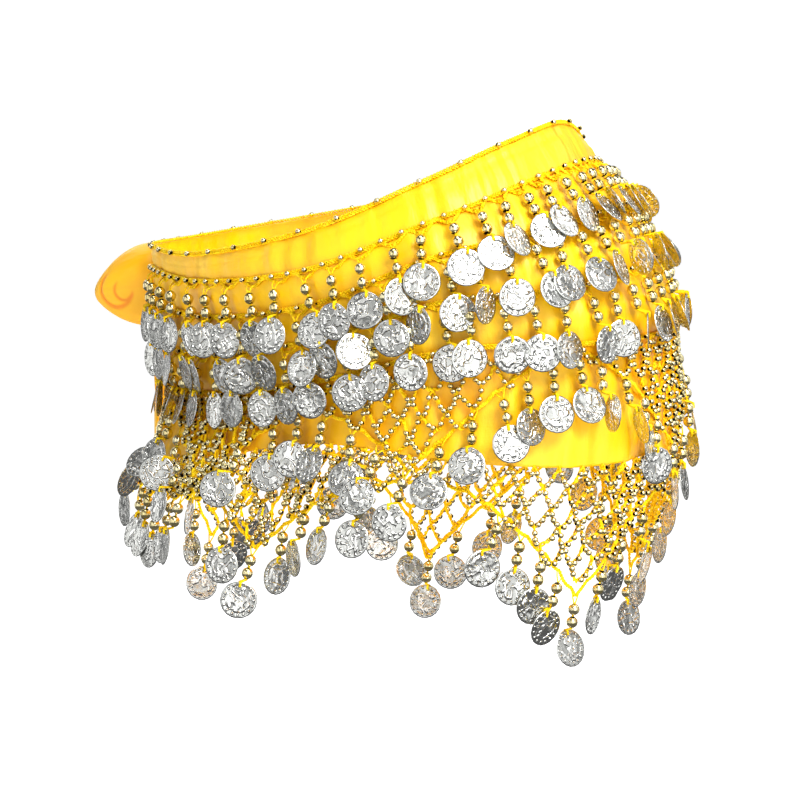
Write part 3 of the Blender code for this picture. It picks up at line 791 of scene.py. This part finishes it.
def make_net(name, out):
    """Two plies a loop, turned round each other by ply * (cos(q), sin(q)), and the beads."""
    start, row = net_loops(name)
    turn, height, outs = loop_at(name, start, row, np.linspace(0, 1, LOOP_POINTS), out)
    paths, frames = placed(turn, height, outs), frames_at(turn, height)
    q = np.linspace(0, 8 * np.pi, LOOP_POINTS) + rng.uniform(0, 6.28, (len(start), 1))
    up, away = frames[..., 1] * np.cos(q)[..., None], frames[..., 2] * np.sin(q)[..., None]
    plies = [swept(paths + side * PLY_SWAY * (up + away), frames[..., 2], PLY_RADIUS)
             for side in (1, -1)]
    net = make_piece(name + "_loops", joined(plies), COTTON)
    at = loop_at(name, start, row, np.array(BEADS_IN_LOOP), out + 0.0013)
    at = [value.ravel() for value in at]
    kept = rng.random(len(at[0])) < SHARE_OF_BEADS
    beads = small_beads(*[value[kept] for value in at], radius=0.00170)
    return net, make_piece(name + "_beads", beads, METALLISED)


def edge_height(name, turn):
    """The height of a net's pointed edge: its line less its drop."""
    carrier, points = NETS[name]
    return line_height(carrier, turn) - net_drop(turn, points)


def make_edge_cord(name, out):
    """A plaited cord along the pointed edge, with a shallow scallop every loop."""
    step = 0.00090
    turn = even_turns(edge_height, name, TRIM_START, TRIM_END, step)
    scallop = 0.0016 * abs(np.sin(np.arange(len(turn)) * step / LOOP_WIDE * np.pi))
    shape = plait(turn, edge_height(name, turn) - scallop + 0.0008, out, **NARROW)
    return make_piece(name + "_edge", shape, COTTON)


UPPER_OUT, LOWER_OUT = 0.0020, 0.0010
upper_net, upper_net_beads = make_net("upper_net", UPPER_OUT)
lower_net, lower_net_beads = make_net("lower_net", LOWER_OUT)
upper_edge_cord = make_edge_cord("upper_net", UPPER_OUT)
lower_edge_cord = make_edge_cord("lower_net", LOWER_OUT)
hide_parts("upper_net")
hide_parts("lower_net")

# %% [markdown]
# ## Strands of beads and coins
# A thread leaves the crochet in two short legs, passes through two beads and is tied
# through the hole of a coin. Places are counted down the thread, and the coins turn a
# little on their own loops, which is what makes them flash.

# %% Places along a hanging thread
BEAD_RADIUS, COIN_RADIUS, COIN_HOLE = 0.0032, 0.01035, 0.74
RIM_CLEAR, STAGGER = 0.0012, 0.0012
BEADS_DOWN, COIN_DOWN = (0.0078, 0.0150), 0.0296
# Places down a thread from its root, how far each lies to the side, and the radius at each
# of them and at the two ends on the coin.
THREAD_DOWN = np.array([0.0, 0.0022, 0.0046, 0.0078, 0.0114, 0.0150, 0.0186])
THREAD_ASIDE = np.array([0.0030, 0.0018, 0.0004, 0.0002, 0.0003, 0.0002, 0.0005])
THREAD_THICK = np.array([0.45, 0.45, 0.5, 0.5, 0.5, 0.5, 0.7, 0.95, 0.8]) / 1000


def below(turn, top, down, out, aside):
    """The height falls by down / stretch, where stretch is the cloth's length for each
    metre of height, and aside moves the point along the turn."""
    stretch = np.linalg.norm(worn(turn, top) - worn(turn, top - 0.03), axis=-1) / 0.03
    return turn + aside / METRES_A_DEGREE, top - down / stretch, out


def turned(frames, yaw, roll, pitch):
    """frames @ Ry(yaw) @ Rz(roll) @ Rx(pitch): about the strand, about the normal, and
    nodding."""
    c, s, o, l = np.cos, np.sin, np.zeros_like(yaw), np.ones_like(yaw)

    def matrix(*values):
        return np.stack(values, -1).reshape(-1, 3, 3)

    ry = matrix(c(yaw), o, s(yaw), o, l, o, -s(yaw), o, c(yaw))
    rz = matrix(c(roll), -s(roll), o, s(roll), c(roll), o, o, o, l)
    rx = matrix(l, o, o, o, c(pitch), -s(pitch), o, s(pitch), c(pitch))
    return frames @ ry @ rz @ rx


# %% Strands from their roots
def make_threads(turn, root, lift, swing, hole, frames):
    """Two threads a strand, from the legs through the beads to the front and back of the
    coin, which the last two places follow."""
    top, threads = root(turn), []
    out = np.array([0.0010, lift + 0.0022, lift + 0.0030] + 4 * [lift + BEAD_RADIUS])
    for side in (1, -1):
        aside = side * THREAD_ASIDE
        leg = root(turn + aside[0] / METRES_A_DEGREE) - top
        tops = top[:, None] + leg[:, None] * np.clip(1 - THREAD_DOWN / 0.004, 0, 1)
        aside = aside + swing[:, None] * THREAD_DOWN
        upper = placed(*below(turn[:, None], tops, THREAD_DOWN, out, aside))
        over = hole + frames[..., 2] * side * 0.0011 + frames[..., 1] * 0.0024
        lower = hole + frames[..., 2] * side * 0.0009 - frames[..., 1] * 0.0004
        threads.append(np.concatenate([upper, over[:, None], lower[:, None]], 1))
    paths = np.concatenate(threads)
    normals = np.broadcast_to(np.tile(outward(turn, top), (2, 1))[:, None], paths.shape)
    return swept(paths, normals, THREAD_THICK)


def make_strands(name, turn, root, lift, coin_out, twist=0.0):
    """Beads lie lift + radius out from the cloth, and coins coin_out, or as much more as
    keeps a turned coin's rim clear of it. Where the scarf is bunched, coins are turned by
    twist exp(-((turn + 2) / 18)^2) degrees more."""
    many, top = len(turn), root(turn)
    swing = 0.11 * np.sin(2.4 * np.arange(many) + rng.uniform(0, 6)) + rng.normal(0, 0.04, many)
    yaw = np.radians(8 + rng.normal(0, 13, many)) * np.where(rng.random(many) < 0.15, 2.6, 1)
    yaw = yaw + np.radians(twist) * bunched(turn, -2, 18)
    beads = []
    for down in BEADS_DOWN:
        place = below(turn, top, down, lift + BEAD_RADIUS, swing * down)
        frames = frames_at(*place[:2]) * (BEAD_RADIUS * np.array([1, 1.02, 1]))
        beads.append(scattered(BIG_BALL, placed(*place), frames, rng.random(many)))
    rim = np.maximum(COIN_RADIUS * abs(np.sin(yaw)) + lift + RIM_CLEAR - coin_out, 0)
    outs = coin_out + rim + np.where(np.arange(many) % 2, STAGGER, 0.0)
    place = below(turn, top, COIN_DOWN, outs, swing * COIN_DOWN)
    roll, nod = rng.normal(0, 0.12, many), np.radians(rng.normal(-3, 7, many))
    frames, centres = turned(frames_at(*place[:2]), yaw, roll, nod), placed(*place)
    coins = scattered(COIN, centres, frames * COIN_RADIUS, rng.random(many))
    hole = centres + frames[..., 1] * COIN_RADIUS * COIN_HOLE
    threads = make_threads(turn, root, lift, swing, hole, frames)
    return [make_piece(name + "_threads", threads, COTTON),
            make_piece(name + "_beads", joined(beads), METALLISED),
            make_piece(name + "_coins", coins, ALUMINIUM)]


STRAND_STEP = 6.9
DIP = 0.0022


def make_zigzag(name, line_name, turns):
    """A plait that hangs from the cord and dips at each strand: height = line + 0.4 mm -
    4.4 mm cos(90 away)^1.5, where away is the turn to the nearest strand over half a step."""
    half = STRAND_STEP / 2
    turn = np.linspace(turns[0] - half, turns[-1] + half, len(turns) * 22)
    away = abs(turn[:, None] - turns).min(axis=1) / half
    dip = 0.0044 * np.cos(np.clip(away, 0, 1) * np.pi / 2) ** 1.5
    height = line_height(line_name, turn) + 0.0004 - dip
    shape = plait(turn, height, 0.0014, pitch=0.005, **NARROW)
    return make_piece(name + "_zigzag", shape, COTTON)


# Each row: its name, its line, the turn to its first strand and how far bunched coins turn.
ROWS = (("coin_row_1", "row_1", 3.3, 0.0),
        ("coin_row_2", "row_2", 6.75, -6.0),
        ("coin_row_3", "row_3", 3.3, -42.0))
strands = []
for name, line_name, first, twist in ROWS:
    turn = np.arange(TRIM_START + first, TRIM_END - 1, STRAND_STEP)
    turn = turn + rng.normal(0, 0.25, len(turn))
    pieces = make_strands(
        name, turn, lambda t: line_height(line_name, t) - DIP, 0.0027, 0.0092, twist)
    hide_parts(name)
    pieces.append(make_zigzag(name, line_name, turn))
    strands += pieces

# %% Strands along the pointed edges
def edge_turns(points, step, furthest):
    """One strand at each point, and the rest evenly between, up to a share of the way to
    the valley."""
    turns = []
    for (start, *_), (end, *_) in zip(points, points[1:]):
        count = round((end - start) / step)
        share = np.arange(count) / count
        turns.append(start + (end - start) * share[2 * np.minimum(share, 1 - share) <= furthest])
    turns = np.concatenate(turns)
    return turns[(turns > TRIM_START + 2) & (turns < TRIM_END - 4)]


EDGE_STEP = 6.0
for name, furthest, lift, coin_out in (("upper_net", 1.0, 0.0024, 0.0080),
                                       ("lower_net", 0.72, -0.0010, 0.0022)):
    turn = edge_turns(NETS[name][1], EDGE_STEP, furthest)
    pieces = make_strands(name + "_strands", turn, lambda t: edge_height(name, t), lift, coin_out)
    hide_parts(name + "_coins")
    strands += pieces

# %% [markdown]
# ## The knot
# The two ends are tied at the right front. What shows is a fold of satin that stands out
# of the knot, and a short end that hangs.

# %% The fold that stands out of the knot
KNOT_HEIGHT = -0.052
# Rings of the fold in mm: how far out of the cloth, half its size along the cloth and up.
BOW_COLUMNS = ("out", "half_along", "half_up")
BOW = (
    (1.2, 10, 16.5),
    (6, 16, 23.8),
    (15, 18, 24.8),
    (24, 17.5, 23),
    (33, 15.2, 18.7),
    (40, 12.2, 13.6),
    (45, 8.8, 9),
    (48.5, 4.8, 4.7),
    (49.8, 0.8, 0.8),
)
# Curved creases that all start from the pinched place: radius, degrees up from outwards to
# the middle, depth.
PINCH_OUT, PINCH_UP = 0.0206, -0.0035
CREASES = ((0.0062, 30, 0.0008), (0.0112, 24, 0.0012))
CREASE_WIDE, RIDGE = 0.0009, 0.035


def knot_axes():
    """Along the cloth, upwards and outwards at the knot, as the columns of a matrix."""
    return frames_at(np.array([KNOT_TURN]), np.array([KNOT_HEIGHT]))[0]


def make_bow():
    """A ring at each u from the cloth (0) to the tip (1). Each crease runs along a circle:
    depth exp(-(off / 0.9 mm)^2), off = how far a place is from it, and fades above the
    circle's middle. Slow ridges: radius 1 - 0.035 ease(1.2 - u) cos(5 b + 3 u)."""
    rings, columns = 110, 220
    ring = table(BOW_COLUMNS, BOW)
    knots = np.linspace(0, 1, len(BOW))
    u = np.linspace(0, 1, rings)
    out, along, up = (through(u, knots, ring[name])[:, None] for name in BOW_COLUMNS)
    b = np.arange(columns + 1) / columns * 2 * np.pi
    level = up * np.sin(b)
    crease = 0
    for size, rise, depth in CREASES:
        middle_out = PINCH_OUT + size * math.cos(math.radians(rise))
        middle_up = PINCH_UP + size * math.sin(math.radians(rise))
        off = np.hypot(out - middle_out, level - middle_up) - size
        lower = ease(0.6 + ((out - middle_out) - 1.2 * (level - middle_up)) / (1.6 * size))
        crease = crease + depth * np.exp(-((off / CREASE_WIDE) ** 2)) * lower
    crease = crease * ease(u * 4)[:, None] * ease((1 - u) * 6)[:, None]
    ridge = RIDGE * ease(1.2 - u[:, None]) * np.cos(5 * b + 3 * u[:, None])
    radius = 1 - ridge - crease / np.hypot(along, up)
    local = np.stack(np.broadcast_arrays(along * np.cos(b) * radius, level * radius, out), -1)
    points = worn(KNOT_TURN, KNOT_HEIGHT) + local @ knot_axes().T
    uv = np.stack(np.broadcast_arrays(b * 0.018, -u[:, None] * 0.05), -1)
    shape = sheet_shape(points[::-1, :-1], uv, closed=True)
    end = np.arange(columns)
    caps = {"corners": np.concatenate([end, (rings - 1) * columns + end[::-1]]),
            "sizes": [columns, columns], "uv": np.zeros((2 * columns, 2))}
    shape.update({key: np.concatenate([shape[key], more]) for key, more in caps.items()})
    # Painted shade: the satin deepens to orange in the creases, and a little over the whole fold.
    shape["painted_shade_and_tone"] = np.clip(crease / 0.0008 + 0.34, 0, 1)[::-1, :-1].ravel()
    piece = make_piece("knot_bow", shape, SATIN)
    return piece


bow = make_bow()
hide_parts("knot", "knot_loop")

# %% The short end
def make_end():
    """A sheet 78 mm long that widens from 12 to 34 mm: out = 3.5 mm sin(288 u + 34 degrees)
    ease(1.5 v) + 1 mm cos(516 u) v, with u across it from -1 to 1 and v down it."""
    columns, rows, narrow, widening, long = 36, 40, 0.006, 0.011, 0.078
    u, v = np.meshgrid(np.linspace(-1, 1, columns + 1), np.linspace(0, 1, rows))
    side, up, out = knot_axes().T
    width = narrow + widening * ease(v * 2.5)
    ripple = 0.0035 * np.sin(u * np.pi * 1.6 + 0.6) * ease(v * 1.5) + 0.001 * np.cos(u * 9) * v
    height = -long * v * (1 + 0.05 * u)
    tail_low, tail_high = (np.array(corner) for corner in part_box("knot_tail"))
    top = np.append((tail_low + tail_high)[:2] / 2, tail_high[2])
    points = top + side * (u * width)[..., None]
    points = points + np.array([0, 0, 1]) * height[..., None] + out * ripple[..., None]
    shape = sheet_shape(points, np.stack([u * width, height], -1), closed=False)
    # Painted shade: deepest at the top under the knot, and in stripes down its length that fade
    # towards the bottom.
    shade = 0.5 * np.exp(-v * 5) + 0.3 * abs(np.sin(u * 4)) * (1 - v)
    shape["painted_shade_and_tone"] = np.clip(shade, 0, 1).ravel()
    piece = make_piece("hanging_end", shape, SATIN)
    solidify = piece.modifiers.new("thickness", "SOLIDIFY")
    solidify.thickness, solidify.offset = 0.0006, 0
    return piece


hanging_end = make_end()
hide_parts("knot_tail")

# %% [markdown]
# ## Light, floor and camera
# Satin shows its folds under large soft lights, and metal needs something dark to reflect
# or it turns into a white blot. So the studio is pale, with five soft lights and a ring of
# 24 cards, some glowing and some dark, that only the reflections see.

# %% Floor and backdrop
FLOOR_HEIGHT, FLOOR_HALF = -0.40, 30
WALL_SIDES, WALL_RADIUS = 48, 25
CORNERS = ((-1, -1), (1, -1), (1, 1), (-1, 1))


def add_matt(name, points, faces, finish, colour, glow):
    """A matt thing of the studio, with its own white glow."""
    mesh = bpy.data.meshes.new(name)
    mesh.from_pydata(np.array(points).tolist(), [], faces)
    thing = bpy.data.objects.new(name, mesh)
    bpy.context.scene.collection.objects.link(thing)
    mesh.materials.append(new_finish(
        finish, Base_Color=linear(colour), Roughness=0.9, Emission_Color=linear("#FFFFFF"),
        Emission_Strength=glow)[0])
    return thing


def add_backdrop():
    """A white wall all round, from under the floor up."""
    angle = np.arange(WALL_SIDES) / WALL_SIDES * 2 * np.pi
    ring = WALL_RADIUS * np.stack([np.sin(angle), np.cos(angle), 0 * angle], -1)
    points = np.concatenate([ring + [0, 0, FLOOR_HEIGHT - 1], ring + [0, 0, WALL_RADIUS]])
    faces = [(k, (k + 1) % WALL_SIDES, (k + 1) % WALL_SIDES + WALL_SIDES, k + WALL_SIDES)
             for k in range(WALL_SIDES)]
    return add_matt("backdrop", points, faces, "white_backdrop", "#FFFFFF", 1.0)


corners = [(FLOOR_HALF * x, FLOOR_HALF * y, FLOOR_HEIGHT) for x, y in CORNERS]
floor = add_matt("floor", corners, [(0, 1, 2, 3)], "pale_floor", "#F6F6F6", 0.90)
floor.visible_glossy = False
backdrop = add_backdrop()
backdrop.visible_glossy = backdrop.visible_diffuse = backdrop.visible_shadow = False
world = bpy.data.worlds.new("pale_studio")
bpy.context.scene.world = world
world.use_nodes = True
background = world.node_tree.nodes["Background"]
background.inputs["Color"].default_value = linear("#FAFAFA")
background.inputs["Strength"].default_value = 0.15
bpy.context.scene.view_settings.view_transform = "Standard"

# %% Lights and cards
MIDDLE = (0.0, 0.0, -0.1)
LIGHT_FAR, CARD_FAR = 1.9, 1.6
# Lights: name, turn, rise, size, watts.
LIGHTS = (("key", 88, 38, 0.9, 44), ("front", -5, 30, 0.7, 2.5), ("back", 165, 35, 1.0, 8),
          ("far_side", 260, 35, 1.0, 8), ("top", 40, 80, 0.9, 10))
CARD_WIDE, CARD_TALL, CARD_STEP = 0.40, 1.3, 15.0
CARD_GLOWS = (0.0, 1.6, 0.3, 1.8, 0.6, 0.0, 1.8, 0.5, 0.0, 1.4, 0.4, 1.9,
              0.5, 1.6, 0.5, 2.6, 2.8, 1.2, 1.8, 0.3, 1.2, 0.0, 1.8, 0.4)


def direction(turn, rise):
    """The way out at a turn and a rise, both in degrees, as a unit vector."""
    t, r = math.radians(turn), math.radians(rise)
    return np.array([math.sin(t) * math.cos(r), -math.cos(t) * math.cos(r), math.sin(r)])


def add_light(name, place, size, power):
    """A square area light aimed at the middle."""
    light = bpy.data.lights.new(name, "AREA")
    light.shape, light.size, light.energy = "SQUARE", size, power
    thing = bpy.data.objects.new(name, light)
    thing.location = place
    thing.rotation_euler = (Vector(MIDDLE) - Vector(place)).to_track_quat("-Z", "Y").to_euler()
    bpy.context.scene.collection.objects.link(thing)


def add_card(name, place, glow):
    """A flat card that faces the middle. Only reflections see it."""
    out = unit(np.array(MIDDLE) - place)
    side = unit(np.cross([0, 0, 1.0], out))
    up = np.cross(out, side)
    points = [place + side * x * CARD_WIDE / 2 + up * y * CARD_TALL / 2 for x, y in CORNERS]
    card = add_matt(name, points, [(0, 1, 2, 3)], name + "_cloth", "#0C0C0C", glow)
    card.visible_camera = card.visible_diffuse = card.visible_shadow = False


for name, turn, rise, size, power in LIGHTS:
    add_light(name, direction(turn, rise) * LIGHT_FAR + MIDDLE, size, power)
for number, glow in enumerate(CARD_GLOWS):
    place = direction(-150 + CARD_STEP * number, 4) * CARD_FAR + MIDDLE
    add_card(f"card_{number}", place, glow)
print(len(LIGHTS), "lights and", len(CARD_GLOWS), "cards")

# %% Camera
AZIMUTH, ELEVATION, DISTANCE = 60, 4, 2.6
FRAME_WIDTH, SENSOR = 0.457, 36
towards_camera = Vector(direction(AZIMUTH, ELEVATION))
right = Vector(direction(AZIMUTH + 90, 0))
aim = right * 0.0177 + towards_camera.cross(right) * -0.115
camera_data = bpy.data.cameras.new("camera")
camera_data.sensor_width, camera_data.lens = SENSOR, SENSOR * DISTANCE / FRAME_WIDTH
camera_data.clip_end = 100
camera = bpy.data.objects.new("camera", camera_data)
camera.location = aim + towards_camera * DISTANCE
camera.rotation_euler = towards_camera.to_track_quat("Z", "Y").to_euler()
bpy.context.scene.collection.objects.link(camera)
bpy.context.scene.camera = camera
print("camera at", [round(v, 2) for v in camera.location], "lens", round(camera_data.lens), "mm")
